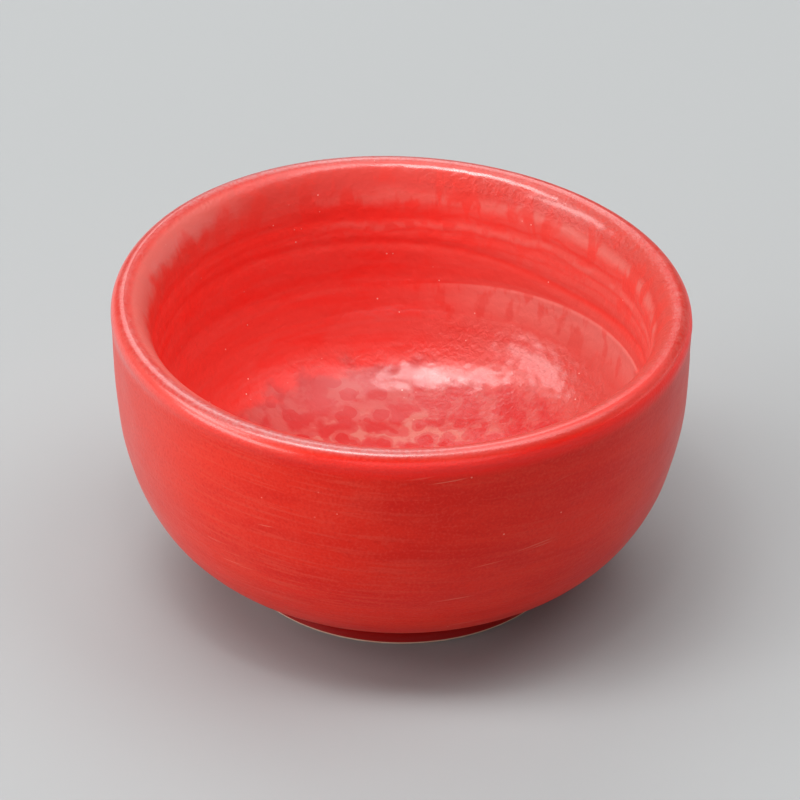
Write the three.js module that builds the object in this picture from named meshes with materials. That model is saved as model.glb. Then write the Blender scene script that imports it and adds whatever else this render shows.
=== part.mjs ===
// Hand-thrown sake cup of stoneware, glazed red inside and out.
// Millimetres, +Z up. The origin is the centre of the foot's resting face.
import * as THREE from 'three';

// The outside of the glazed cup, which is what a rule would measure
const widestRadius = 35;
const cupHeight = 36.6;
const lipDrop = 1.9;
const crownInset = 1.6;
const footNeckRadius = 19.5;
const footHeight = 2.7;

// How the outer wall leaves the foot, and how it comes up to its widest point
const footFlare = new THREE.Vector2(17.1, 4.6);
const shoulderPull = new THREE.Vector2(0.6, 7.3);

// The lip rolls over the crown to the inner wall, which goes down to the bowl's floor
const lipRollWidth = 3.4;
const lipRollDrop = 6;
const wallLean = 1.1;
const uprightWall = 10.6;
const bowlFloorHeight = 7;
const bowlWallPull = new THREE.Vector2(2.6, 7);
const bowlFloorReach = 20;

// The foot ring is turned from the same clay and stands on a bare edge
const footRadius = 20.1;
const footRingWidth = 5;
const footEdgeBevel = 0.12;
const footWellDepth = 1.7;
const footWellLean = 0.6;
const bareFootEdge = 0.28;

// Coats of glaze, and the gap that keeps each coat a solid of its own
const outerGlaze = 0.35;
const innerGlaze = 0.4;
const pooledGlaze = 0.5;
const hemGlaze = 0.1;
const wellGlaze = 0.35;
const coatGap = 0.05;
const lipSeamGap = 0.1;

// The rim sits a little uneven, as a cup does that is cut and pressed by hand
const rimTilt = 0.8;
const rimTwist = 0.27;
const levelShare = 0.35;

const segments = 48;
const steps = { wall: 10, lip: 3, roll: 5, upright: 2, bowl: 9 };

const clayMaterial = { color: 0xc9a08c, roughness: 0.9, metalness: 0 };
const outerGlazeMaterial = { color: 0xb8241f, roughness: 0.38, metalness: 0 };
const innerGlazeMaterial = { color: 0xd8332d, roughness: 0.28, metalness: 0 };
const wellGlazeMaterial = { color: 0x9c1f1a, roughness: 0.35, metalness: 0 };

const widest = new THREE.Vector2(widestRadius, cupHeight - lipDrop);
const crown = new THREE.Vector2(widestRadius - crownInset, cupHeight);
const rollEnd = new THREE.Vector2(crown.x - lipRollWidth, crown.y - lipRollDrop);
const bowlTop = new THREE.Vector2(rollEnd.x - wallLean, rollEnd.y - uprightWall);

// Curves of the outside, from the foot up to the crown
function outsideCurves() {
  const neck = new THREE.Vector2(footNeckRadius, footHeight);
  const wall = new THREE.CubicBezierCurve(
    neck,
    neck.clone().add(footFlare),
    widest.clone().sub(shoulderPull),
    widest,
  );
  const lip = new THREE.EllipseCurve(crown.x, widest.y, crownInset, lipDrop, 0, Math.PI / 2);
  return [[wall, steps.wall], [lip, steps.lip]];
}

// Curves of the inside, from the crown down to the middle of the bowl
function insideCurves() {
  const roll = new THREE.EllipseCurve(
    crown.x, rollEnd.y, lipRollWidth, lipRollDrop, Math.PI / 2, Math.PI,
  );
  const upright = new THREE.LineCurve(rollEnd, bowlTop);
  const bowl = new THREE.CubicBezierCurve(
    bowlTop,
    bowlTop.clone().sub(bowlWallPull),
    new THREE.Vector2(bowlFloorReach, bowlFloorHeight),
    new THREE.Vector2(0, bowlFloorHeight),
  );
  return [[roll, steps.roll], [upright, steps.upright], [bowl, steps.bowl]];
}

// Points along joined curves, each moved into the clay by depth(share of the way)
function pointsBelow(curves, depth) {
  const points = [];
  curves.forEach(([curve, count], piece) => {
    for (let step = piece === 0 ? 0 : 1; step <= count; step += 1) {
      const share = step / count;
      const along = curve.getTangent(share);
      const inward = new THREE.Vector2(-along.y, along.x);
      const way = (piece + share) / curves.length;
      points.push(curve.getPoint(share).addScaledVector(inward, depth(way)));
    }
  });
  points.at(-1).x = curves.at(-1)[0].getPoint(1).x;
  return points;
}

// The inner coat thickens where it ran down and pooled in the bowl
function innerCoat(way) {
  return innerGlaze + (pooledGlaze - innerGlaze) * way;
}

// Moves a point of the upper cup as the hand left it; the foot stays level and round
function handmade(position) {
  const share = position.z / cupHeight;
  const weight = THREE.MathUtils.smoothstep(share, levelShare, 1);
  const angle = Math.atan2(position.y, position.x);
  const lift = -rimTilt * Math.cos(angle) - rimTwist * Math.sin(2 * angle);
  const reach = Math.hypot(position.x, position.y) / widestRadius;
  position.z += lift * weight * reach;
  return position;
}

// One turned piece from its closed profile
function turned(name, profile, material) {
  const geometry = new THREE.LatheGeometry(profile, segments);
  geometry.rotateX(Math.PI / 2);
  const places = geometry.attributes.position;
  const place = new THREE.Vector3();
  for (let index = 0; index < places.count; index += 1) {
    handmade(place.fromBufferAttribute(places, index));
    places.setXYZ(index, place.x, place.y, place.z);
  }
  geometry.computeVertexNormals();
  const mesh = new THREE.Mesh(geometry, new THREE.MeshStandardMaterial(material));
  mesh.name = name;
  return mesh;
}

// Wall, floor and foot ring of one clay
function clayBody() {
  const outside = pointsBelow(outsideCurves(), () => outerGlaze + coatGap);
  const inside = pointsBelow(insideCurves(), (way) => innerCoat(way) + coatGap);
  const ringInner = footRadius - footRingWidth;
  const foot = [
    new THREE.Vector2(0, footWellDepth),
    new THREE.Vector2(ringInner - footWellLean, footWellDepth),
    new THREE.Vector2(ringInner, footEdgeBevel),
    new THREE.Vector2(ringInner + footEdgeBevel, 0),
    new THREE.Vector2(footRadius - footEdgeBevel, 0),
    new THREE.Vector2(footRadius, footEdgeBevel),
    new THREE.Vector2(footRadius, bareFootEdge),
    new THREE.Vector2(footNeckRadius - outerGlaze - coatGap, footHeight + outerGlaze + coatGap),
  ];
  return turned('clay_body', [...foot, ...outside, ...inside.slice(1)], clayMaterial);
}

// Coat outside, from the lip down over the wall to just above the foot's bare edge
function outerCoat() {
  const surface = pointsBelow(outsideCurves(), () => 0);
  const back = pointsBelow(outsideCurves(), () => outerGlaze);
  surface.at(-1).x += lipSeamGap / 2;
  back.at(-1).x += lipSeamGap / 2;
  const hem = [
    new THREE.Vector2(footNeckRadius - outerGlaze, footHeight + outerGlaze),
    new THREE.Vector2(footRadius + coatGap, bareFootEdge),
    new THREE.Vector2(footRadius + coatGap + hemGlaze, bareFootEdge),
  ];
  const profile = [...hem, ...surface, ...back.reverse()];
  profile.push(profile[0].clone());
  return turned('outer_glaze', profile, outerGlazeMaterial);
}

// Coat inside, from the lip down into the bowl, where it pooled
function bowlCoat() {
  const surface = pointsBelow(insideCurves(), () => 0);
  const back = pointsBelow(insideCurves(), innerCoat);
  surface[0].x -= lipSeamGap / 2;
  back[0].x -= lipSeamGap / 2;
  return turned('inner_glaze', [...back.reverse(), ...surface], innerGlazeMaterial);
}

// Coat in the shallow well inside the foot ring
function wellCoat() {
  const top = footWellDepth - coatGap;
  const reach = footRadius - footRingWidth - footWellLean - coatGap;
  const profile = [
    new THREE.Vector2(0, top - wellGlaze),
    new THREE.Vector2(reach - wellGlaze, top - wellGlaze),
    new THREE.Vector2(reach, top),
    new THREE.Vector2(0, top),
  ];
  return turned('foot_well_glaze', profile, wellGlazeMaterial);
}

const cup = new THREE.Group();
cup.add(clayBody(), outerCoat(), bowlCoat(), wellCoat());

export default cup;
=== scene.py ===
"""A hand-thrown sake cup in red glaze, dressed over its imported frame."""

import logging
from abc import ABC, abstractmethod
from dataclasses import dataclass, field
from enum import Enum
from math import atan2, cos, exp, hypot, pi, radians, sin

import bpy
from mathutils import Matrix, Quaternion, Vector, noise


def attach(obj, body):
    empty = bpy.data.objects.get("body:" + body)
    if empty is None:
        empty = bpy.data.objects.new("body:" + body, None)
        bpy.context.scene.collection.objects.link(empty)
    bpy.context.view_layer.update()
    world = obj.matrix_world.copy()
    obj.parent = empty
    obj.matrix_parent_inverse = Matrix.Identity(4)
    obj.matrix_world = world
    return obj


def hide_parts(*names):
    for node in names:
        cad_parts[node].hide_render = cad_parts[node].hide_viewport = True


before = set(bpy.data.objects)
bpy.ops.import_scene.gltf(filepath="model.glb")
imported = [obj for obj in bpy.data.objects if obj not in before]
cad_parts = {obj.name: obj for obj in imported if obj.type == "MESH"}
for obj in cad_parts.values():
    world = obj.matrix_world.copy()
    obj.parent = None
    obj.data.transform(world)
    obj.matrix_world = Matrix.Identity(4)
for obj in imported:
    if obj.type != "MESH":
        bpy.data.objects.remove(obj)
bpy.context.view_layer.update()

MM = 0.001
FULL_TURN = 2 * pi
MERGE_DISTANCE = 0.002 * MM

# A colour is red, green and blue; a span is where a soft change starts and where it is complete
Colour = tuple[float, float, float]
Span = tuple[float, float]
Socket = bpy.types.NodeSocket

log = logging.getLogger("sake_cup")


class Blend(Enum):
    """Ways in which one colour is laid over another."""

    OVER = "MIX"
    DARKEN = "MULTIPLY"


class Mark(Enum):
    """What a finger or rib leaves round the wet wall."""

    GROOVE = "groove"
    STEP = "step"


def smoothstep(value: float, low: float, high: float) -> float:
    """Soft step from 0 at low to 1 at high."""
    share = min(1.0, max(0.0, (value - low) / (high - low)))
    return share * share * (3 - 2 * share)


def deselect_all() -> None:
    """Leaves nothing selected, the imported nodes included."""
    bpy.ops.object.select_all(action="DESELECT")


def bezier(start: Vector, leave: Vector, arrive: Vector, end: Vector, steps: int) -> list[Vector]:
    """Points along one cubic curve.

    Args:
        start: First point.
        leave: Handle that the curve leaves the first point towards.
        arrive: Handle that the curve comes to the last point from.
        end: Last point.
        steps: How many stretches the curve is cut into.

    Returns:
        The points, both ends included.
    """
    points = []
    for step in range(steps + 1):
        t = step / steps
        s = 1 - t
        points.append(s**3 * start + 3 * s * s * t * leave + 3 * s * t * t * arrive + t**3 * end)
    return points


def quarter(centre: Vector, across: float, up: float, first: float, last: float,
            steps: int) -> list[Vector]:
    """Points along a quarter of an ellipse.

    Args:
        centre: The ellipse's centre.
        across: Half its width.
        up: Half its height.
        first: Angle of the first point, in radians.
        last: Angle of the last point, in radians.
        steps: How many stretches the arc is cut into.

    Returns:
        The points, both ends included.
    """
    points = []
    for step in range(steps + 1):
        angle = first + (last - first) * step / steps
        points.append(centre + Vector((across * cos(angle), up * sin(angle))))
    return points


def sunk(points: list[Vector], depth: float) -> list[Vector]:
    """The same outline moved to its left by depth, which is into the clay.

    Args:
        points: The outline.
        depth: How far to move it, in metres.

    Returns:
        The moved outline.
    """
    moved = []
    for index, point in enumerate(points):
        before = points[max(0, index - 1)]
        after = points[min(len(points) - 1, index + 1)]
        along = (after - before).normalized()
        moved.append(point + Vector((-along.y, along.x)) * depth)
    return moved


@dataclass(frozen=True)
class ThrowingMark:
    """A line round the inner wall, in metres and radians.

    Towards its lowest direction the line lies lower by drop, and away from there it loses
    the share of its depth that fade says. A step dies out below its edge over tail widths.
    """

    kind: Mark
    height: float
    depth: float
    width: float
    drop: float = 0.0
    lowest: float = 0.0
    narrow: int = 1
    fade: float = 0.0
    tail: float = 8.0

    def offset(self, height: float, angle: float) -> float:
        """How far the mark sets the wall back, into the clay.

        Args:
            height: Height of the point on the wall.
            angle: Its direction round the cup.

        Returns:
            The distance, below zero where the wall stands proud.
        """
        facing = max(0.0, cos(angle - self.lowest)) ** self.narrow
        above = height - self.height + self.drop * facing
        depth = self.depth * (1 - self.fade * (1 - facing))
        if self.kind is Mark.GROOVE:
            return depth * exp(-((above / self.width) ** 2))
        proud = smoothstep(-above, -self.width / 2, self.width / 2)
        return -depth * proud * exp(min(0.0, above) / (self.tail * self.width))


@dataclass
class CupForm:
    """The turned form that every coat of glaze follows, in metres."""

    widest_radius: float = 35 * MM
    height: float = 36.6 * MM
    lip_drop: float = 1.9 * MM
    crown_inset: float = 1.6 * MM
    foot_neck_radius: float = 19.5 * MM
    foot_height: float = 2.7 * MM
    foot_flare: Vector = field(default_factory=lambda: Vector((17.1, 4.6)) * MM)
    shoulder_pull: Vector = field(default_factory=lambda: Vector((0.6, 7.3)) * MM)
    lip_roll_width: float = 3.4 * MM
    lip_roll_drop: float = 6.0 * MM
    wall_lean: float = 1.1 * MM
    upright_wall: float = 10.6 * MM
    floor_height: float = 7.0 * MM
    bowl_wall_pull: Vector = field(default_factory=lambda: Vector((2.6, 7.0)) * MM)
    bowl_floor_reach: float = 20.0 * MM
    foot_radius: float = 20.1 * MM
    bare_edge: float = 0.28 * MM

    wall_steps: int = 130
    lip_steps: int = 16
    roll_steps: int = 28
    upright_steps: int = 48
    bowl_steps: int = 110
    crease_ease: int = 12
    crease_tightness: float = 0.6

    rim_tilt: float = 0.8 * MM
    rim_twist: float = 0.27 * MM
    level_share: float = 0.35
    ripple: float = 0.09 * MM
    ripple_length: float = 11 * MM
    ripple_rise: float = 5 * MM
    ripple_foot: Span = (4 * MM, 12 * MM)
    ripple_lip: Span = (MM, 5 * MM)
    mark_waver: float = 0.5 * MM
    mark_waves: float = 1.7
    marks: tuple[ThrowingMark, ...] = (
        ThrowingMark(Mark.GROOVE, height=30.1 * MM, depth=0.04 * MM, width=0.45 * MM),
        ThrowingMark(Mark.GROOVE, height=28.4 * MM, depth=0.03 * MM, width=0.45 * MM),
        ThrowingMark(Mark.GROOVE, height=27.0 * MM, depth=0.10 * MM, width=0.7 * MM,
                     drop=2.0 * MM, lowest=radians(42), narrow=6),
        ThrowingMark(Mark.STEP, height=20.8 * MM, depth=0.14 * MM, width=0.4 * MM,
                     drop=-2.4 * MM, fade=0.9),
    )

    def outside(self) -> list[Vector]:
        """Outline of the outside, from the neck of the foot to the crown of the lip.

        Returns:
            Radius and height of each point.
        """
        neck = Vector((self.foot_neck_radius, self.foot_height))
        widest = Vector((self.widest_radius, self.height - self.lip_drop))
        wall = bezier(neck, neck + self.foot_flare, widest - self.shoulder_pull, widest,
                      self.wall_steps)
        centre = Vector((self.widest_radius - self.crown_inset, widest.y))
        lip = quarter(centre, self.crown_inset, self.lip_drop, 0, pi / 2, self.lip_steps)
        return wall + lip[1:]

    def inside(self) -> list[Vector]:
        """Outline of the inside, from the crown of the lip to the middle of the bowl.

        Returns:
            Radius and height of each point.
        """
        crown = self.widest_radius - self.crown_inset
        roll_end = Vector((crown - self.lip_roll_width, self.height - self.lip_roll_drop))
        centre = Vector((crown, roll_end.y))
        roll = quarter(centre, self.lip_roll_width, self.lip_roll_drop, pi / 2, pi, self.roll_steps)
        bowl_top = Vector((roll_end.x - self.wall_lean, roll_end.y - self.upright_wall))
        shares = [step / self.upright_steps for step in range(1, self.upright_steps + 1)]
        upright = [roll_end.lerp(bowl_top, share) for share in shares]
        reach = Vector((self.bowl_floor_reach, self.floor_height))
        middle = Vector((0, self.floor_height))
        bowl = bezier(bowl_top, bowl_top - self.bowl_wall_pull, reach, middle, self.bowl_steps)
        above, below = upright[-self.crease_ease], bowl[self.crease_ease]
        eased = bezier(above, above.lerp(bowl_top, self.crease_tightness),
                       below.lerp(bowl_top, self.crease_tightness), below, 2 * self.crease_ease)
        return roll + upright[:-self.crease_ease] + eased + bowl[self.crease_ease + 1:]

    def handmade(self, place: Vector) -> Vector:
        """Where the hand left a point of the turned form.

        Args:
            place: The point as turned.

        Returns:
            The point with the rim's tilt and twist.
        """
        weight = smoothstep(place.z / self.height, self.level_share, 1)
        angle = atan2(place.y, place.x)
        reach = hypot(place.x, place.y) / self.widest_radius
        lift = -self.rim_tilt * cos(angle) - self.rim_twist * sin(2 * angle)
        return place + Vector((0, 0, lift * weight * reach))

    def set_back(self, place: Vector, distance: float) -> Vector:
        """A point moved straight out from the cup's axis.

        Args:
            place: The point.
            distance: How far it moves, below zero towards the axis.

        Returns:
            The moved point, or the same point where it is next to the axis.
        """
        reach = hypot(place.x, place.y)
        if reach < MM:
            return place
        share = 1 + distance / reach
        return Vector((place.x * share, place.y * share, place.z))

    def rippled(self, place: Vector) -> float:
        """Soft unevenness of the thrown wall, which ends towards the foot and the lip.

        Args:
            place: The point as turned.

        Returns:
            How far the point is set back, below zero towards the axis.
        """
        where = Vector((place.x, place.y, 0)) / self.ripple_length
        where.z = place.z / self.ripple_rise
        ends = smoothstep(place.z, *self.ripple_foot)
        ends *= smoothstep(self.height - place.z, *self.ripple_lip)
        return self.ripple * noise.noise(where) * ends

    def marked(self, place: Vector) -> float:
        """How far the throwing marks set back a point of the inner wall.

        Args:
            place: The point as turned.

        Returns:
            The distance, below zero where the wall stands proud.
        """
        angle = atan2(place.y, place.x)
        around = Vector((cos(angle), sin(angle), 0))
        waver = self.mark_waver * noise.noise(around * self.mark_waves)
        return sum(mark.offset(place.z + waver, angle) for mark in self.marks)


def thrown(name: str, outline: list[Vector], turns: int) -> bpy.types.Object:
    """One closed shell, drawn as an outline and spun about the cup's axis.

    Args:
        name: The piece's name.
        outline: Radius and height of each point, closed on itself or ending on the axis.
        turns: How many steps one turn has.

    Returns:
        The new object, with its faces pointing out.
    """
    deselect_all()
    bpy.ops.mesh.primitive_plane_add(size=MM, location=(0, 0, 0))
    piece = bpy.context.active_object
    piece.name = piece.data.name = name
    bpy.ops.object.mode_set(mode="EDIT")
    bpy.ops.mesh.select_all(action="SELECT")
    bpy.ops.mesh.merge(type="CENTER")
    bpy.ops.transform.translate(value=(outline[0].x, 0, outline[0].y))
    for here, there in zip(outline, outline[1:]):
        step = (there.x - here.x, 0, there.y - here.y)
        bpy.ops.mesh.extrude_region_move(TRANSFORM_OT_translate={"value": step})
    bpy.ops.mesh.select_all(action="SELECT")
    bpy.ops.mesh.spin(steps=turns, angle=FULL_TURN, center=(0, 0, 0), axis=(0, 0, 1))
    bpy.ops.mesh.select_all(action="SELECT")
    bpy.ops.mesh.remove_doubles(threshold=MERGE_DISTANCE)
    bpy.ops.mesh.normals_make_consistent(inside=False)
    bpy.ops.object.mode_set(mode="OBJECT")
    return piece


@dataclass(frozen=True)
class Finish(ABC):
    """What a surface is made of, how it takes the light, and the glassy coat over it."""

    roughness: float = 0.5
    gloss: float = 0.5
    coat: float = 0.0
    coat_roughness: float = 0.3

    @abstractmethod
    def material(self) -> bpy.types.Material:
        """Builds the finish."""


class Palette:
    """A material's node tree, with its patterns laid out in millimetres.

    right, back and height are the three coordinates, reach is the distance out from the
    cup's axis, and along is height and reach together, which grows all the way up a wall.
    """

    def __init__(self, name: str) -> None:
        """Starts a material with one principled shader and the object's coordinates.

        Args:
            name: The material's name.
        """
        self.material = bpy.data.materials.new(name)
        self.material.use_nodes = True
        self.tree = self.material.node_tree
        self.shader = self.tree.nodes["Principled BSDF"]
        scaled = self.tree.nodes.new("ShaderNodeVectorMath")
        scaled.operation = "SCALE"
        scaled.inputs["Scale"].default_value = 1 / MM
        self.link(self.tree.nodes.new("ShaderNodeTexCoord").outputs["Object"], scaled.inputs[0])
        self.place = scaled.outputs["Vector"]
        apart = self.tree.nodes.new("ShaderNodeSeparateXYZ")
        self.link(self.place, apart.inputs["Vector"])
        self.right, self.back, self.height = apart.outputs
        squares = self.sum(self.times(self.right, self.right), self.times(self.back, self.back))
        self.reach = self.math("SQRT", squares)
        self.along = self.sum(self.height, self.reach)

    def link(self, source: Socket, target: Socket) -> None:
        """Joins two sockets."""
        self.tree.links.new(source, target)

    def math(self, operation: str, *values: Socket | float) -> Socket:
        """Result of one arithmetic step.

        Args:
            operation: The step's name.
            values: What it works on, as sockets or numbers.

        Returns:
            The socket with the result.
        """
        node = self.tree.nodes.new("ShaderNodeMath")
        node.operation = operation
        for socket, value in zip(node.inputs, values):
            if isinstance(value, (int, float)):
                socket.default_value = value
            else:
                self.link(value, socket)
        return node.outputs["Value"]

    def times(self, first: Socket | float, *others: Socket | float) -> Socket:
        """Product of several values.

        Args:
            first: The first value.
            others: What it is multiplied by, one after the other.

        Returns:
            The socket with the product.
        """
        for other in others:
            first = self.math("MULTIPLY", first, other)
        return first

    def sum(self, first: Socket | float, second: Socket | float) -> Socket:
        """Sum of two values."""
        return self.math("ADD", first, second)

    def vector(self, *values: Socket) -> Socket:
        """Coordinates made of three values.

        Args:
            values: The three values.

        Returns:
            The socket with the coordinates.
        """
        node = self.tree.nodes.new("ShaderNodeCombineXYZ")
        for socket, value in zip(node.inputs, values):
            self.link(value, socket)
        return node.outputs["Vector"]

    def banded(self, across: float, slant: float = 0.0) -> Socket:
        """Coordinates in which a pattern is drawn out round the cup.

        Args:
            across: How much finer the pattern is up the wall than round it.
            slant: How far a band climbs for each millimetre to the right.

        Returns:
            The socket with the coordinates.
        """
        level = self.sum(self.along, self.times(self.right, slant))
        return self.vector(self.right, self.back, self.times(level, across))

    def running(self, around: float, down: float) -> Socket:
        """Coordinates in which a pattern is drawn out down the wall.

        Args:
            around: Size of the circle that the pattern is read on, in millimetres.
            down: How much of the way down the wall counts.

        Returns:
            The socket with the coordinates.
        """
        share = self.math("DIVIDE", around, self.math("MAXIMUM", self.reach, 1.0))
        right, back = self.times(self.right, share), self.times(self.back, share)
        return self.vector(right, back, self.times(self.along, down))

    def towards(self, direction: float) -> Socket:
        """How much a place lies towards one direction round the cup.

        Args:
            direction: The direction, in radians from the right.

        Returns:
            The socket with 1 in that direction, 0 a quarter turn from it and -1 opposite.
        """
        right, back = self.times(self.right, cos(direction)), self.times(self.back, sin(direction))
        return self.math("DIVIDE", self.sum(right, back), self.reach)

    def grain(self, where: Socket, size: float, detail: float = 3.0, wander: float = 0.0) -> Socket:
        """Soft noise.

        Args:
            where: Coordinates to read.
            size: How wide one cell of the noise is, in millimetres.
            detail: Octaves of finer noise.
            wander: How much the pattern is distorted.

        Returns:
            The socket with a value about 0.5.
        """
        node = self.tree.nodes.new("ShaderNodeTexNoise")
        node.inputs["Scale"].default_value = 1 / size
        node.inputs["Detail"].default_value = detail
        node.inputs["Distortion"].default_value = wander
        self.link(where, node.inputs["Vector"])
        return node.outputs["Fac"]

    def wavering(self, value: Socket, pattern: Socket, reach: float) -> Socket:
        """A place pushed to and fro by a pattern.

        Args:
            value: The place.
            pattern: Noise about 0.5.
            reach: How far the pattern's whole range pushes, in millimetres.

        Returns:
            The socket with the new place.
        """
        return self.sum(value, self.times(self.sum(pattern, -0.5), reach))

    def stirred(self, where: Socket, size: float, reach: float) -> Socket:
        """Coordinates pushed about by noise, so that a pattern read there is less regular.

        Args:
            where: Coordinates to start from.
            size: How wide one cell of the noise is, in millimetres.
            reach: How far the noise pushes, in millimetres.

        Returns:
            The socket with the coordinates.
        """
        noisy = self.tree.nodes.new("ShaderNodeTexNoise")
        noisy.inputs["Scale"].default_value = 1 / size
        self.link(where, noisy.inputs["Vector"])
        push = self.tree.nodes.new("ShaderNodeVectorMath")
        push.operation = "MULTIPLY_ADD"
        push.inputs[1].default_value = (reach, reach, reach)
        self.link(noisy.outputs["Color"], push.inputs[0])
        self.link(where, push.inputs[2])
        return push.outputs["Vector"]

    def cells(self, where: Socket, size: float) -> Socket:
        """Distance to scattered points.

        Args:
            where: Coordinates to read.
            size: How far apart the points are, in millimetres.

        Returns:
            The socket with 0 at each point.
        """
        node = self.tree.nodes.new("ShaderNodeTexVoronoi")
        node.inputs["Scale"].default_value = 1 / size
        self.link(where, node.inputs["Vector"])
        return node.outputs["Distance"]

    def span(self, value: Socket, low: float, high: float, start: float = 0.0,
             end: float = 1.0) -> Socket:
        """A value mapped softly from low and high to start and end.

        Args:
            value: The value to map.
            low: Where the result is start.
            high: Where the result is end.
            start: Result at low.
            end: Result at high.

        Returns:
            The socket with the result.
        """
        node = self.tree.nodes.new("ShaderNodeMapRange")
        node.interpolation_type = "SMOOTHSTEP"
        node.inputs["From Min"].default_value = low
        node.inputs["From Max"].default_value = high
        node.inputs["To Min"].default_value = start
        node.inputs["To Max"].default_value = end
        self.link(value, node.inputs["Value"])
        return node.outputs["Result"]

    def line(self, value: Socket, centre: float, width: float) -> Socket:
        """A soft line that is 1 where the value is at the centre and 0 a width away."""
        return self.span(self.math("ABSOLUTE", self.sum(value, -centre)), width, 0)

    def mixed(self, amount: Socket, base: Socket | Colour, top: Socket | Colour,
              how: Blend = Blend.OVER) -> Socket:
        """One colour laid over another.

        Args:
            amount: How much of the top colour shows.
            base: Colour beneath.
            top: Colour on top.
            how: How the colours meet.

        Returns:
            The socket with the colour.
        """
        node = self.tree.nodes.new("ShaderNodeMix")
        node.data_type = "RGBA"
        node.blend_type = how.value
        self.link(amount, node.inputs["Factor"])
        for side, colour in (("A", base), ("B", top)):
            socket = next(s for s in node.inputs if s.name == side and s.type == "RGBA")
            if isinstance(colour, tuple):
                socket.default_value = (*colour, 1)
            else:
                self.link(colour, socket)
        return next(s for s in node.outputs if s.type == "RGBA")

    def relief(self, height: Socket, depth: float, under: Socket | None = None) -> Socket:
        """Fine relief that is too small for the mesh.

        Args:
            height: The relief's height, from 0 to 1.
            depth: What 1 stands for, in metres.
            under: Normal of a coarser relief beneath it.

        Returns:
            The socket with the normal.
        """
        node = self.tree.nodes.new("ShaderNodeBump")
        node.inputs["Distance"].default_value = depth
        self.link(height, node.inputs["Height"])
        if under is not None:
            self.link(under, node.inputs["Normal"])
        return node.outputs["Normal"]

    def finish(self, colour: Socket, roughness: Socket, normal: Socket,
               surface: Finish) -> bpy.types.Material:
        """Joins the results to the shader.

        Args:
            colour: Base colour.
            roughness: Roughness.
            normal: Normal with the fine relief.
            surface: The finish, with its gloss and its glassy top coat.

        Returns:
            The material.
        """
        self.link(colour, self.shader.inputs["Base Color"])
        self.link(roughness, self.shader.inputs["Roughness"])
        self.link(normal, self.shader.inputs["Normal"])
        self.shader.inputs["Specular IOR Level"].default_value = surface.gloss
        self.shader.inputs["Coat Weight"].default_value = surface.coat
        self.shader.inputs["Coat Roughness"].default_value = surface.coat_roughness
        return self.material


@dataclass(frozen=True)
class LipGlaze:
    """Glaze that the coats share where they meet along the crown of the lip.

    Places and sizes are in millimetres. A side is the distance out from the crown's middle.
    """

    red: Colour = (0.50, 0.036, 0.026)
    worn: Colour = (0.51, 0.070, 0.058)
    dark: Colour = (0.50, 0.020, 0.014)
    # painted light on the front right of the crown
    painted_lit_red: Colour = (0.70, 0.050, 0.040)
    # painted highlight along the crown at the front and back
    painted_highlight: Colour = (0.45, 0.140, 0.138)
    crimson: Colour = (0.97, 0.009, 0.003)
    reach: float = 33.4
    heights: Span = (33, 35)
    waver_size: float = 3.0
    speckle_size: float = 0.45
    edge_sides: Span = (1.15, 1.5)
    edge_heights: Span = (32.9, 34.2)
    edge_rights: Span = (-18, 6)
    edge_share: float = 0.9
    lit_red_backs: Span = (-6, -20)
    lit_red_rights: Span = (-2, 12)
    highlight_backs: Span = (12, 28)
    highlight_rights: Span = (20, -10)
    highlight_share: float = 0.85

    def crown(self, p: Palette, speckle: Socket) -> Socket:
        """Colour along the crown, worn in patches and grained light and dark.

        Args:
            p: The coat's palette.
            speckle: The grain.

        Returns:
            The socket with the colour.
        """
        waver = p.grain(p.place, self.waver_size, detail=2)
        colour = p.mixed(p.span(waver, 0.42, 0.7), self.red, self.worn)
        colour = p.mixed(p.span(speckle, 0.5, 0.68, 0, 0.8), colour, self.worn)
        return p.mixed(p.span(speckle, 0.5, 0.34, 0, 0.7), colour, self.dark)

    def edged(self, p: Palette, colour: Socket, side: Socket) -> Socket:
        """Lays a crimson line round the lip's outer edge, which is faint on the left.

        Args:
            p: The coat's palette.
            colour: The colour beneath.
            side: Distance out from the crown.

        Returns:
            The socket with the colour.
        """
        edge = p.times(p.span(side, *self.edge_sides), p.span(p.height, *self.edge_heights),
                       p.span(p.right, *self.edge_rights, 0.1, 1), self.edge_share)
        return p.mixed(edge, colour, self.crimson)

    def over(self, p: Palette, colour: Socket, inward: float, outward: float) -> Socket:
        """Lays the lip's colour over a coat's own, with painted light and a painted highlight on the
        crown.

        Args:
            p: The coat's palette.
            colour: The coat's colour.
            inward: How far towards the bowl the lip's colour goes, in millimetres.
            outward: How far towards the outside it goes.

        Returns:
            The socket with the colour.
        """
        speckle = p.grain(p.place, self.speckle_size, detail=2)
        side = p.sum(p.reach, -self.reach)
        up = p.span(p.height, *self.heights)
        colour = self.edged(p, colour, side)
        near = p.times(p.span(side, -inward, 0), p.span(side, outward, outward / 2), up)
        colour = p.mixed(near, colour, self.crown(p, speckle))
        # painted light: the lip's front right made brighter, where the lamp on the right catches it
        front_right = p.times(p.span(p.back, *self.lit_red_backs), p.span(p.right, *self.lit_red_rights))
        colour = p.mixed(p.times(front_right, up, p.line(side, 0.5, 1.1)), colour, self.painted_lit_red)
        # painted highlight: pale along the crown at the front and back, where the lamps glint on it
        ends = p.span(p.math("ABSOLUTE", p.back), *self.highlight_backs)
        ends = p.times(ends, p.span(p.right, *self.highlight_rights), up)
        highlight = p.times(p.line(side, 0.1, 1.1), p.span(speckle, 0.34, 0.6, 0.3, 0.9), ends)
        return p.mixed(p.times(highlight, self.highlight_share), colour, self.painted_highlight)


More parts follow.
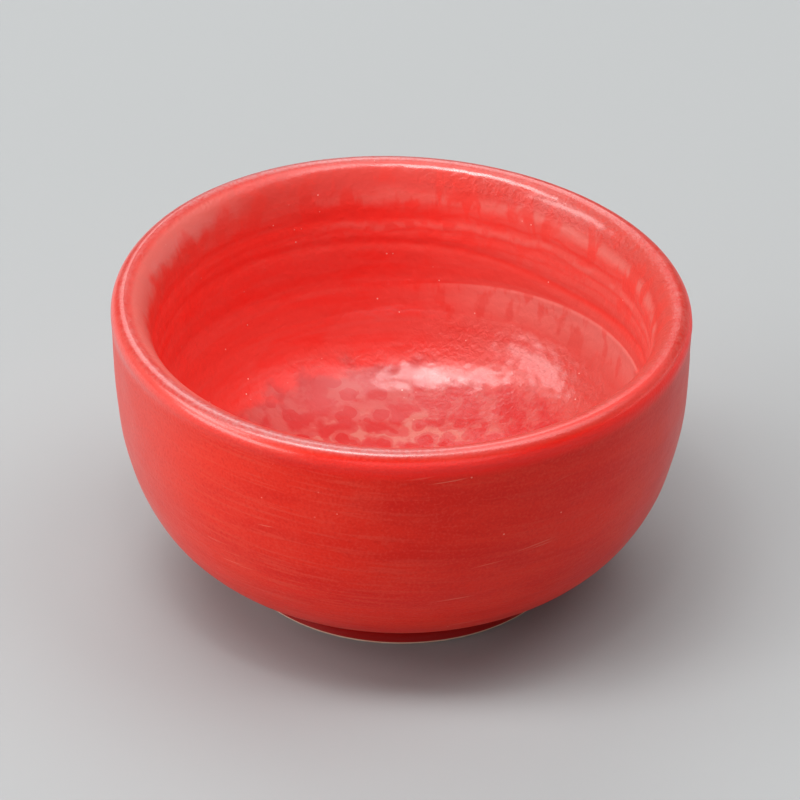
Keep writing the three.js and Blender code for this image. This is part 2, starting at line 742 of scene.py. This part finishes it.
@dataclass(frozen=True)
class StreakedGlaze(Finish):
    """Red glaze laid on while the wheel turned, with fine streaks round the wall.

    Places and sizes are in millimetres.
    """

    body: Colour = (0.76, 0.017, 0.005)
    deep: Colour = (0.70, 0.009, 0.002)
    pale: Colour = (0.74, 0.050, 0.028)
    # painted sheen and painted reflection, laid on the wall's left side and right edge
    painted_sheen: Colour = (0.60, 0.088, 0.076)
    line: Colour = (0.78, 0.15, 0.10)
    speck: Colour = (0.85, 0.26, 0.20)
    dark: Colour = (0.56, 0.008, 0.004)
    # painted shade: the wall darkens towards the foot, where the belly shades it
    foot: Colour = (0.27, 0.004, 0.003)
    hem: Colour = (0.60, 0.40, 0.30)
    roughness: float = 0.42
    gloss: float = 0.12
    coat: float = 0.18
    coat_roughness: float = 0.24
    lip_coat: float = 1.0
    lip: LipGlaze = LipGlaze()
    lip_inward: float = 5.0
    lip_outward: float = 1.35
    cloud_size: float = 8.0
    sand_size: float = 0.33
    streaked_rights: Span = (14, -30)
    left_sheen_rights: Span = (-8, -34)
    far_left_sheen_rights: Span = (-22, -35)
    right_edge_reflection: Span = (22, 35)
    foot_shade_heights: Span = (4.4, 2.2)
    hem_heights: Span = (0.42, 0.32)
    lip_coat_heights: Span = (33.6, 36)
    coat_heights: Span = (2.5, 8)
    coat_fades_right: Span = (34, 6)
    coat_fades_left: Span = (-36, -31)
    sand_heights: Span = (32, 35)

    def streaked(self, p: Palette) -> Socket:
        """Colour of the wall, with streaks that grow stronger towards the left.

        Args:
            p: The coat's palette.

        Returns:
            The socket with the colour.
        """
        broad = p.grain(p.banded(across=4, slant=0.05), size=14, detail=3, wander=0.3)
        fine = p.grain(p.banded(across=18, slant=0.06), size=10, detail=4, wander=0.2)
        colour = p.mixed(p.span(broad, 0.35, 0.62), self.deep, self.body)
        left = p.sum(p.times(p.span(p.right, *self.streaked_rights), 0.7), 0.3)
        return p.mixed(p.times(p.span(fine, 0.50, 0.66, 0, 0.8), left), colour, self.pale)

    def painted_side_sheen(self, p: Palette, colour: Socket) -> Socket:
        """Lays painted sheen over the wall towards its left side, and a painted reflection of the
        floor at its right edge.

        Args:
            p: The coat's palette.
            colour: The colour beneath.

        Returns:
            The socket with the colour.
        """
        # painted sheen, paler towards the left where the left lamps shine; painted reflection of the
        # floor at the right edge
        colour = p.mixed(p.times(p.span(p.right, *self.left_sheen_rights), 0.7), colour, self.pale)
        colour = p.mixed(p.times(p.span(p.right, *self.far_left_sheen_rights), 0.75), colour, self.painted_sheen)
        return p.mixed(p.times(p.span(p.right, *self.right_edge_reflection), 0.35), colour, self.painted_sheen)

    def grained(self, p: Palette, colour: Socket, cloud: Socket, sand: Socket) -> Socket:
        """Lays soft clouds and a sandy grain over the wall.

        Args:
            p: The coat's palette.
            colour: The colour beneath.
            cloud: Pattern of the clouds.
            sand: Pattern of the grain.

        Returns:
            The socket with the colour.
        """
        colour = p.mixed(p.span(cloud, 0.5, 0.75, 0, 0.25), colour, self.pale)
        colour = p.mixed(p.span(sand, 0.5, 0.7, 0, 0.4), colour, self.pale)
        return p.mixed(p.span(sand, 0.5, 0.3, 0, 0.3), colour, self.dark)

    def brushed(self, p: Palette, colour: Socket) -> Socket:
        """Lays a few thin brush lines and rare specks over the wall.

        Args:
            p: The coat's palette.
            colour: The colour beneath.

        Returns:
            The socket with the colour.
        """
        stroke = p.grain(p.banded(across=26, slant=-0.12), size=11, detail=2, wander=0.2)
        here = p.span(p.grain(p.place, size=12, detail=1), 0.50, 0.62)
        colour = p.mixed(p.times(p.span(stroke, 0.66, 0.73, 0, 0.6), here), colour, self.line)
        specks = p.span(p.cells(p.place, size=2.2), 0.075, 0.03)
        rare = p.span(p.grain(p.place, size=5, detail=1), 0.57, 0.63)
        return p.mixed(p.times(specks, rare), colour, self.speck)

    def coat_weight(self, p: Palette) -> Socket:
        """Weight of the glassy coat: thin on the wall, full on the lip except at its sides.

        Args:
            p: The coat's palette.

        Returns:
            The socket with the weight.
        """
        fired = p.times(p.span(p.right, *self.coat_fades_right, 0.1, 1),
                        p.span(p.right, *self.coat_fades_left, 0.5, 1))
        lip = p.times(p.span(p.height, *self.lip_coat_heights, 0, self.lip_coat), fired)
        return p.sum(lip, p.span(p.height, *self.coat_heights, 0, self.coat))

    def fine_relief(self, p: Palette, sand: Socket) -> Socket:
        """Relief of the brush, of the glaze's skin and of the sandy grain.

        Args:
            p: The coat's palette.
            sand: Pattern of the grain.

        Returns:
            The socket with the normal.
        """
        normal = p.relief(p.grain(p.banded(across=5), size=5, detail=3), 0.05 * MM)
        normal = p.relief(p.grain(p.place, size=1.1, detail=2), 0.03 * MM, normal)
        sand = p.times(sand, p.span(p.height, *self.sand_heights, 0.4, 1))
        return p.relief(sand, 0.07 * MM, normal)

    def material(self) -> bpy.types.Material:
        """Builds the finish.

        Returns:
            The material.
        """
        p = Palette("streaked_red_glaze")
        cloud = p.grain(p.place, self.cloud_size, detail=3)
        sand = p.grain(p.place, self.sand_size, detail=2)
        colour = self.painted_side_sheen(p, self.streaked(p))
        colour = self.brushed(p, self.grained(p, colour, cloud, sand))
        # painted shade: darker towards the foot, under the belly
        colour = p.mixed(p.span(p.height, *self.foot_shade_heights), colour, self.foot)
        colour = p.mixed(p.span(p.height, *self.hem_heights), colour, self.hem)
        colour = self.lip.over(p, colour, self.lip_inward, self.lip_outward)
        p.link(self.coat_weight(p), p.shader.inputs["Coat Weight"])
        roughness = p.span(cloud, 0.3, 0.7, self.roughness - 0.05, self.roughness + 0.06)
        return p.finish(colour, roughness, self.fine_relief(p, sand), self)


@dataclass(frozen=True)
class GlazeRing:
    """A darker line of glaze round the upper inner wall.

    Its level is height and reach together, which grows up the wall, in millimetres.
    """

    level: float
    width: float
    strength: float


@dataclass(frozen=True)
class MottledGlaze(Finish):
    """Red glaze that pooled in the bowl, with paler clouds and darker round spots.

    Places and sizes are in millimetres. A level is height and reach together.
    """

    body: Colour = (0.95, 0.062, 0.046)
    deep: Colour = (0.98, 0.044, 0.031)
    upper: Colour = (0.86, 0.050, 0.038)
    cloud: Colour = (0.92, 0.108, 0.088)
    pale: Colour = (0.92, 0.185, 0.155)
    pool: Colour = (0.58, 0.084, 0.072)
    spot: Colour = (0.56, 0.032, 0.029)
    shelf: Colour = (0.95, 0.200, 0.170)
    lit_side: Colour = (0.72, 1.0, 1.0)
    lit_top: Colour = (0.76, 1.0, 1.0)
    lit_low: Colour = (0.84, 0.78, 0.78)
    net: Colour = (0.61, 0.185, 0.145)
    pinhole: Colour = (0.92, 0.50, 0.44)
    roughness: float = 0.36
    gloss: float = 0.24
    coat: float = 0.7
    coat_roughness: float = 0.17
    lip_coat: float = 1.0
    lip: LipGlaze = LipGlaze()
    lip_inward: float = 1.3
    lip_outward: float = 1.8
    cloudy_rights: Span = (-2, 20)
    upper_reaches: Span = (30.3, 31.0)
    drip_levels: Span = (52, 59)
    blot_rights: Span = (-14, -4)
    blots_start: Span = (61.2, 62.8)
    blots_end: Span = (64.9, 63.0)
    low_blots: float = 58.9
    band_rights: Span = (-16, -27)
    band_start: Span = (64, 67.5)
    band_end: Span = (70.5, 69)
    rings: tuple[GlazeRing, ...] = (
        GlazeRing(level=60.4, width=0.4, strength=0.6),
        GlazeRing(level=58.2, width=0.35, strength=0.55),
        GlazeRing(level=56.6, width=0.35, strength=0.4),
    )
    sag_height: float = 26.8
    sag_width: float = 0.6
    sag_drop: float = 2.2
    sag_direction: float = radians(42)
    ledge_rise: float = 2.4
    ledge_edge: Span = (20.95, 20.7)
    ledge_fade: Span = (15.0, 20.0)
    lit_low_heights: Span = (22, 15)
    lit_top_heights: Span = (30, 35.5)
    lit_side_rights: Span = (-4, 26)
    pool_reaches: Span = (24.5, 22)
    pool_heights: Span = (17, 14)
    coat_heights: Span = (18, 30)
    coat_rights: Span = (-15, 0)
    lip_coat_reaches: Span = (30.9, 31.5)
    lip_coat_rights: Span = (-26, -3)
    grit_size: float = 0.6
    grit_depth: float = 0.17 * MM
    grit_direction: float = radians(48)
    grit_heights: Span = (18.5, 15.5)
    grit_reaches: Span = (30.4, 30.9)
    grit_lip: Span = (31.6, 32.4)

    def clouded(self, p: Palette, runs: Socket) -> Socket:
        """Colour of the wall with its clouds, faint rings and dark drips.

        Args:
            p: The coat's palette.
            runs: Pattern that is drawn out down the wall.

        Returns:
            The socket with the colour.
        """
        patches = p.grain(p.banded(across=1.8), size=7, detail=4, wander=0.4)
        across = p.wavering(p.sum(p.right, p.times(p.back, 0.1)), patches, 20)
        colour = p.mixed(p.span(patches, 0.36, 0.56), self.deep, self.body)
        right = p.times(p.span(across, *self.cloudy_rights), 0.7)
        colour = p.mixed(right, colour, self.cloud)
        faint = p.grain(p.banded(across=14), size=24, detail=2, wander=0.1)
        colour = p.mixed(p.span(faint, 0.46, 0.62, 0, 0.3), colour, self.cloud)
        colour = p.mixed(p.span(faint, 0.46, 0.36, 0, 0.3), colour, self.deep)
        colour = p.mixed(p.span(p.reach, *self.upper_reaches), colour, self.upper)
        drips = p.times(p.span(runs, 0.52, 0.40, 0, 0.55), p.span(p.along, *self.drip_levels))
        return p.mixed(drips, colour, self.deep)

    def blotted(self, p: Palette, colour: Socket, runs: Socket, level: Socket) -> Socket:
        """Lays the pale blots below the lip over the wall, and a pale band on the left.

        Args:
            p: The coat's palette.
            colour: The colour beneath.
            runs: Pattern that is drawn out down the wall.
            level: Level on the wall, with a waver.

        Returns:
            The socket with the colour.
        """
        there = p.span(p.right, *self.blot_rights)
        row = p.times(p.span(level, *self.blots_start), p.span(level, *self.blots_end))
        blots = p.times(row, p.span(runs, 0.42, 0.56), there)
        colour = p.mixed(p.times(blots, 0.5), colour, self.pale)
        low = p.times(p.line(level, self.low_blots, 0.9), p.span(runs, 0.56, 0.46), there)
        colour = p.mixed(p.times(low, 0.5), colour, self.pale)
        edge = p.span(p.wavering(p.along, runs, 9), *self.band_start)
        left = p.span(p.right, *self.band_rights, 0.06, 1)
        band = p.times(edge, p.span(p.along, *self.band_end), left)
        return p.mixed(p.times(band, 0.6), colour, self.pale)

    def ringed(self, p: Palette, colour: Socket, runs: Socket, level: Socket) -> Socket:
        """Lays the darker rings over the wall, and the line that sags at the back right.

        Args:
            p: The coat's palette.
            colour: The colour beneath.
            runs: Pattern that is drawn out down the wall.
            level: Level on the wall, with a waver.

        Returns:
            The socket with the colour.
        """
        for ring in self.rings:
            broken = p.span(runs, 0.38, 0.6, 0.4 * ring.strength, ring.strength)
            line = p.line(level, ring.level, ring.width)
            colour = p.mixed(p.times(line, broken), colour, self.deep)
        facing = p.math("MAXIMUM", p.towards(self.sag_direction), 0.0)
        sag = p.sum(p.height, p.times(p.math("POWER", facing, 6.0), self.sag_drop))
        sag = p.times(p.line(sag, self.sag_height, self.sag_width), p.span(facing, 0.35, 0.7, 0, 0.8))
        return p.mixed(p.times(sag, p.span(runs, 0.3, 0.6, 0.5, 1)), colour, self.deep)

    def shelved(self, p: Palette, colour: Socket) -> Socket:
        """Lays the pale glaze that hangs in runs below the ledge on the right.

        Args:
            p: The coat's palette.
            colour: The colour beneath.

        Returns:
            The socket with the colour.
        """
        facing = p.towards(0.0)
        ledge = p.sum(p.height, p.times(p.math("MAXIMUM", facing, 0.0), -self.ledge_rise))
        below = p.times(p.span(ledge, *self.ledge_edge), p.span(ledge, *self.ledge_fade, 0.1, 1))
        runs = p.grain(p.running(around=26, down=0.35), size=1.7, detail=3)
        hanging = p.times(p.span(runs, 0.62, 0.50, 0.35, 1), 0.95)
        return p.mixed(p.times(below, p.span(facing, -0.1, 0.5), hanging), colour, self.shelf)

    def wall(self, p: Palette) -> Socket:
        """Colour of the wall, toned down where the lamps reach it most.

        Args:
            p: The coat's palette.

        Returns:
            The socket with the colour.
        """
        runs = p.grain(p.running(around=30, down=0.4), size=2.5, detail=3, wander=0.5)
        level = p.wavering(p.along, p.grain(p.place, size=5, detail=3), 2.6)
        colour = self.blotted(p, self.clouded(p, runs), runs, level)
        colour = self.ringed(p, colour, runs, level)
        low = p.span(p.height, *self.lit_low_heights)
        colour = self.shelved(p, p.mixed(low, colour, self.lit_low, Blend.DARKEN))
        top = p.span(p.height, *self.lit_top_heights)
        colour = p.mixed(top, colour, self.lit_top, Blend.DARKEN)
        return p.mixed(p.span(p.right, *self.lit_side_rights), colour, self.lit_side, Blend.DARKEN)

    def pooled(self, p: Palette) -> Socket:
        """Colour of the glaze that pooled in the bowl, with a pale net and dark spots.

        Args:
            p: The coat's palette.

        Returns:
            The socket with the colour.
        """
        stirred = p.stirred(p.place, size=2.5, reach=1.6)
        soft = p.grain(p.place, size=3.2, detail=3, wander=0.4)
        large, small = p.cells(stirred, size=3.2), p.cells(stirred, size=1.9)
        colour = p.mixed(p.span(soft, 0.40, 0.58), self.spot, self.pool)
        threads = p.times(p.span(small, 0.46, 0.56), p.span(large, 0.42, 0.52),
                          p.span(soft, 0.44, 0.58), p.span(p.reach, 19, 16, 0, 0.85))
        colour = p.mixed(threads, colour, self.net)
        scattered = p.span(p.grain(p.place, size=4, detail=1), 0.52, 0.48)
        colour = p.mixed(p.times(p.span(small, 0.30, 0.26, 0, 0.8), scattered), colour, self.spot)
        return p.mixed(p.span(large, 0.38, 0.34), colour, self.spot)

    def coat_weight(self, p: Palette) -> Socket:
        """Weight of the glassy coat, in the bowl and where the lip's far side rolls in.

        Args:
            p: The coat's palette.

        Returns:
            The socket with the weight.
        """
        far = p.times(p.span(p.towards(pi / 2), 0.3, 0.8), p.span(p.right, *self.lip_coat_rights))
        roll = p.times(p.span(p.reach, *self.lip_coat_reaches), far, self.lip_coat)
        bowl = p.times(p.span(p.height, *self.coat_heights, self.coat, 0.05),
                       p.span(p.right, *self.coat_rights, 0.2, 1))
        return p.sum(roll, bowl)

    def fine_relief(self, p: Palette) -> Socket:
        """Relief of the glaze's skin and of its grit, which is roughest at the back right.

        Args:
            p: The coat's palette.

        Returns:
            The socket with the normal.
        """
        places = p.sum(p.span(p.height, *self.grit_heights), p.span(p.reach, *self.grit_reaches))
        facing = p.span(p.towards(self.grit_direction), 0.7, 0.96)
        patches = p.sum(p.times(places, facing, 0.8), 0.2)
        patches = p.sum(patches, p.span(p.reach, *self.grit_lip, 0, 0.25))
        grit = p.times(p.grain(p.place, self.grit_size, detail=2, wander=0.5), patches)
        normal = p.relief(p.grain(p.place, size=1.2, detail=2, wander=0.4), 0.05 * MM)
        return p.relief(grit, self.grit_depth, normal)

    def material(self) -> bpy.types.Material:
        """Builds the finish.

        Returns:
            The material.
        """
        p = Palette("mottled_red_glaze")
        ragged = p.wavering(p.reach, p.grain(p.place, size=3, detail=3), 6)
        low = p.times(p.span(ragged, *self.pool_reaches), p.span(p.height, *self.pool_heights))
        colour = p.mixed(low, self.wall(p), self.pooled(p))
        rare = p.span(p.grain(p.place, size=6, detail=1), 0.56, 0.62)
        pinholes = p.times(p.span(p.cells(p.place, size=1.5), 0.08, 0.04), rare)
        colour = p.mixed(pinholes, colour, self.pinhole)
        colour = self.lip.over(p, colour, self.lip_inward, self.lip_outward)
        p.link(self.coat_weight(p), p.shader.inputs["Coat Weight"])
        soft = p.grain(p.place, size=5, detail=2)
        roughness = p.span(soft, 0.3, 0.7, self.roughness - 0.05, self.roughness + 0.07)
        return p.finish(colour, roughness, self.fine_relief(p), self)


@dataclass(frozen=True)
class BareClay(Finish):
    """Fired clay with no glaze, on the foot's resting edge."""

    body: Colour = (0.58, 0.42, 0.33)
    dark: Colour = (0.42, 0.24, 0.17)
    roughness: float = 0.9
    gloss: float = 0.3
    coat: float = 0.0
    coat_roughness: float = 0.3
    sand_size: float = 0.7
    sand_depth: float = 0.1 * MM

    def material(self) -> bpy.types.Material:
        """Builds the finish.

        Returns:
            The material.
        """
        p = Palette("bare_stoneware")
        sand = p.grain(p.place, self.sand_size, detail=5)
        colour = p.mixed(p.span(sand, 0.4, 0.65), self.dark, self.body)
        roughness = p.span(sand, 0.3, 0.7, self.roughness - 0.1, self.roughness)
        return p.finish(colour, roughness, p.relief(sand, self.sand_depth), self)


@dataclass
class GlazeCoats:
    """The coats of glaze on the cup, each a closed shell over the clay, in metres."""

    form: CupForm
    outer_thickness: float = 0.35 * MM
    inner_thickness: float = 0.4 * MM
    hem_thickness: float = 0.1 * MM
    gap: float = 0.05 * MM
    turns: int = 400
    back_stride: int = 8
    neck_ease: int = 11
    neck_steps: int = 16
    neck_start: float = 0.25
    neck_tightness: float = 0.65
    peel_size: float = 1.3 * MM
    outer_peel: float = 0.04 * MM
    inner_peel: float = 0.10 * MM
    peel_from_crown: Span = (0.2 * MM, 2 * MM)
    peel_from_foot: Span = (0.6 * MM, 4 * MM)
    calm_share: float = 0.45
    roughest: float = radians(48)
    rough_facing: Span = (0.2, 0.95)
    sharp_angle: float = radians(40)

    def peel_weight(self, place: Vector) -> float:
        """Share of the orange-peel relief at a point, which ends at the crown and at the foot.

        Args:
            place: The point.

        Returns:
            The share, from 0 to 1.
        """
        crown = self.form.widest_radius - self.form.crown_inset
        crown_height = self.form.handmade(Vector((crown, 0, self.form.height))).z
        aside = hypot(hypot(place.x, place.y) - crown, crown_height - place.z)
        facing = smoothstep(cos(atan2(place.y, place.x) - self.roughest), *self.rough_facing)
        weight = smoothstep(aside, *self.peel_from_crown) * smoothstep(place.z, *self.peel_from_foot)
        return weight * (self.calm_share + (1 - self.calm_share) * facing)

    def peel(self, piece: bpy.types.Object, depth: float) -> None:
        """Gives a coat its orange-peel relief.

        Args:
            piece: The coat.
            depth: From the relief's lowest to its highest point, in metres.
        """
        group = piece.vertex_groups.new(name="peel")
        for vertex in piece.data.vertices:
            group.add([vertex.index], self.peel_weight(vertex.co), "REPLACE")
        texture = bpy.data.textures.new(piece.name + "_peel", "CLOUDS")
        texture.noise_scale = self.peel_size
        texture.noise_depth = 1
        bpy.ops.object.modifier_add(type="DISPLACE")
        modifier = piece.modifiers[-1]
        modifier.texture = texture
        modifier.texture_coords = "LOCAL"
        modifier.vertex_group = group.name
        modifier.mid_level = 0.5
        modifier.strength = depth
        bpy.ops.object.modifier_apply(modifier=modifier.name)
        bpy.ops.object.shade_smooth_by_angle(angle=self.sharp_angle)

    def dress(self, piece: bpy.types.Object, finish: Finish, node: str) -> bpy.types.Object:
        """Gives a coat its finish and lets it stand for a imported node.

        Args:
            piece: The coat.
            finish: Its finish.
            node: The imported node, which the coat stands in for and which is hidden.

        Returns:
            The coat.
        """
        piece.data.materials.append(finish.material())
        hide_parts(node)
        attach(piece, "root")
        return piece

    def outer(self) -> bpy.types.Object:
        """The streaked coat outside, from the lip to just above the foot's bare edge.

        Returns:
            The coat.
        """
        form = self.form
        surface = form.outside()
        back = sunk(surface, self.outer_thickness)[::-self.back_stride]
        hem_radius = form.foot_radius + self.gap
        hem = [
            Vector((form.foot_neck_radius - self.outer_thickness,
                    form.foot_height + self.outer_thickness)),
            Vector((hem_radius, form.bare_edge)),
            Vector((hem_radius + self.hem_thickness, form.bare_edge)),
        ]
        neck, leaving = surface[0], surface[self.neck_ease]
        coming = hem[-1].lerp(neck, self.neck_start)
        gathered = bezier(coming, coming.lerp(neck, self.neck_tightness),
                          leaving.lerp(neck, self.neck_tightness), leaving, self.neck_steps)
        outline = hem + gathered + surface[self.neck_ease + 1:] + back
        piece = thrown("outer_glaze_coat", outline + [outline[0]], self.turns)
        for vertex in piece.data.vertices:
            place = form.set_back(vertex.co, form.rippled(vertex.co))
            vertex.co = form.handmade(place)
        self.peel(piece, self.outer_peel)
        return self.dress(piece, StreakedGlaze(), "outer_glaze")

    def inner(self) -> bpy.types.Object:
        """The mottled coat inside, from the lip to the middle of the bowl.

        Returns:
            The coat.
        """
        form = self.form
        surface = form.inside()
        back = sunk(surface, self.inner_thickness)
        back[-1].x = 0
        piece = thrown("inner_glaze_coat", back[::-self.back_stride] + surface, self.turns)
        for vertex in piece.data.vertices:
            place = form.set_back(vertex.co, form.rippled(vertex.co) + form.marked(vertex.co))
            vertex.co = form.handmade(place)
        self.peel(piece, self.inner_peel)
        return self.dress(piece, MottledGlaze(), "inner_glaze")


def dress_node(node: str, finish: Finish) -> None:
    """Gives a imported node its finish.

    Args:
        node: The node's name.
        finish: Its finish.
    """
    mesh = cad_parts[node].data
    mesh.materials.clear()
    mesh.materials.append(finish.material())


@dataclass(frozen=True)
class Lamp:
    """One soft light that faces the cup from a direction, in degrees and metres."""

    name: str
    azimuth: float
    elevation: float
    width: float
    depth: float
    glow: float
    roll: float = 0.0
    distance: float = 1.5

    def hang(self) -> None:
        """Hangs the light; its glow is what it shows when looked at."""
        up, turn = radians(self.elevation), radians(self.azimuth)
        towards = Vector((cos(up) * cos(turn), cos(up) * sin(turn), sin(up)))
        data = bpy.data.lights.new(self.name, "AREA")
        data.shape = "ELLIPSE"
        data.size, data.size_y = self.width, self.depth
        area = pi * self.width * self.depth / 4
        data.energy = self.glow * area * pi
        lamp = bpy.data.objects.new(self.name, data)
        bpy.context.collection.objects.link(lamp)
        lamp.location = towards * self.distance
        roll = Quaternion((0, 0, 1), radians(self.roll))
        lamp.rotation_euler = (towards.to_track_quat("Z", "Y") @ roll).to_euler()


@dataclass
class Studio:
    """Pale floor, soft lights and the camera, in metres, degrees and pixels."""

    floor_colour: Colour = (0.345, 0.356, 0.359)
    floor_roughness: float = 0.8
    floor_size: float = 8.0
    room_glow: float = 0.10
    distance: float = 0.8
    elevation: float = 34.0
    focal_pixels: float = 6488.0
    image_width: float = 800.0
    origin_row: float = 551.3
    origin_column: float = 401.6
    sensor_width: float = 36.0
    view_end: float = 20.0
    lamps: tuple[Lamp, ...] = (
        Lamp("overhead_strip", azimuth=270, elevation=86, width=1.7, depth=0.5, glow=2.0),
        Lamp("overhead_key", azimuth=199, elevation=74, width=1.35, depth=0.4, glow=8.4, roll=71),
        Lamp("front_bulb", azimuth=268, elevation=76, width=0.13, depth=0.13, glow=18),
        Lamp("middle_bulb", azimuth=227, elevation=78, width=0.13, depth=0.13, glow=18),
        Lamp("left_bulb", azimuth=195, elevation=76, width=0.13, depth=0.13, glow=18),
        Lamp("left_softbox", azimuth=186, elevation=36, width=0.95, depth=0.42, glow=4.9),
        Lamp("left_wash", azimuth=188, elevation=34, width=1.1, depth=1.1, glow=1.3),
        Lamp("low_left_softbox", azimuth=206, elevation=12, width=1.3, depth=0.5, glow=5.8),
        Lamp("back_softbox", azimuth=95, elevation=72, width=1.3, depth=0.4, glow=1.3),
        Lamp("low_back_softbox", azimuth=98, elevation=42, width=1.3, depth=0.9, glow=2.8),
        Lamp("front_fill", azimuth=278, elevation=14, width=2.2, depth=0.7, glow=0.95),
        Lamp("right_softbox", azimuth=8, elevation=60, width=0.9, depth=1.1, glow=2.8),
        Lamp("right_fill", azimuth=16, elevation=8, width=1.5, depth=0.35, glow=1.9),
    )

    def camera(self) -> None:
        """Places the camera where the photograph was taken from."""
        half = self.image_width / 2
        rise = atan2(self.origin_row - half, self.focal_pixels)
        aside = (self.origin_column - half) * self.distance / self.focal_pixels
        up = radians(self.elevation)
        place = (-aside, -self.distance * cos(up), self.distance * sin(up))
        bpy.ops.object.camera_add(location=place, rotation=(pi / 2 - up + rise, 0, 0))
        camera = bpy.context.active_object
        camera.data.sensor_width = self.sensor_width
        camera.data.lens = self.focal_pixels / self.image_width * self.sensor_width
        camera.data.clip_end = self.view_end
        bpy.context.scene.camera = camera

    def floor(self) -> None:
        """Lays the floor."""
        deselect_all()
        bpy.ops.mesh.primitive_plane_add(size=self.floor_size)
        floor = bpy.context.active_object
        floor.name = "floor"
        p = Palette("pale_floor")
        p.shader.inputs["Base Color"].default_value = (*self.floor_colour, 1)
        p.shader.inputs["Roughness"].default_value = self.floor_roughness
        floor.data.materials.append(p.material)

    def lights(self) -> None:
        """Hangs the lights and sets the room's light."""
        for lamp in self.lamps:
            lamp.hang()
        world = bpy.data.worlds.new("room")
        bpy.context.scene.world = world
        world.use_nodes = True
        room = world.node_tree.nodes["Background"]
        room.inputs["Color"].default_value = (1, 1, 1, 1)
        room.inputs["Strength"].default_value = self.room_glow


def main() -> None:
    """Builds the cup piece by piece and reports each one."""
    logging.basicConfig(level=logging.INFO, format="%(message)s")
    bpy.context.scene.view_settings.view_transform = "Standard"
    studio = Studio()
    studio.camera()
    studio.floor()
    studio.lights()
    coats = GlazeCoats(CupForm())
    for piece in (coats.outer(), coats.inner()):
        log.info("%s: %d faces", piece.name, len(piece.data.polygons))
    dress_node("clay_body", BareClay())
    dress_node("foot_well_glaze", StreakedGlaze())
    log.info("clay_body and foot_well_glaze dressed")


if __name__ == "__main__":
    main()
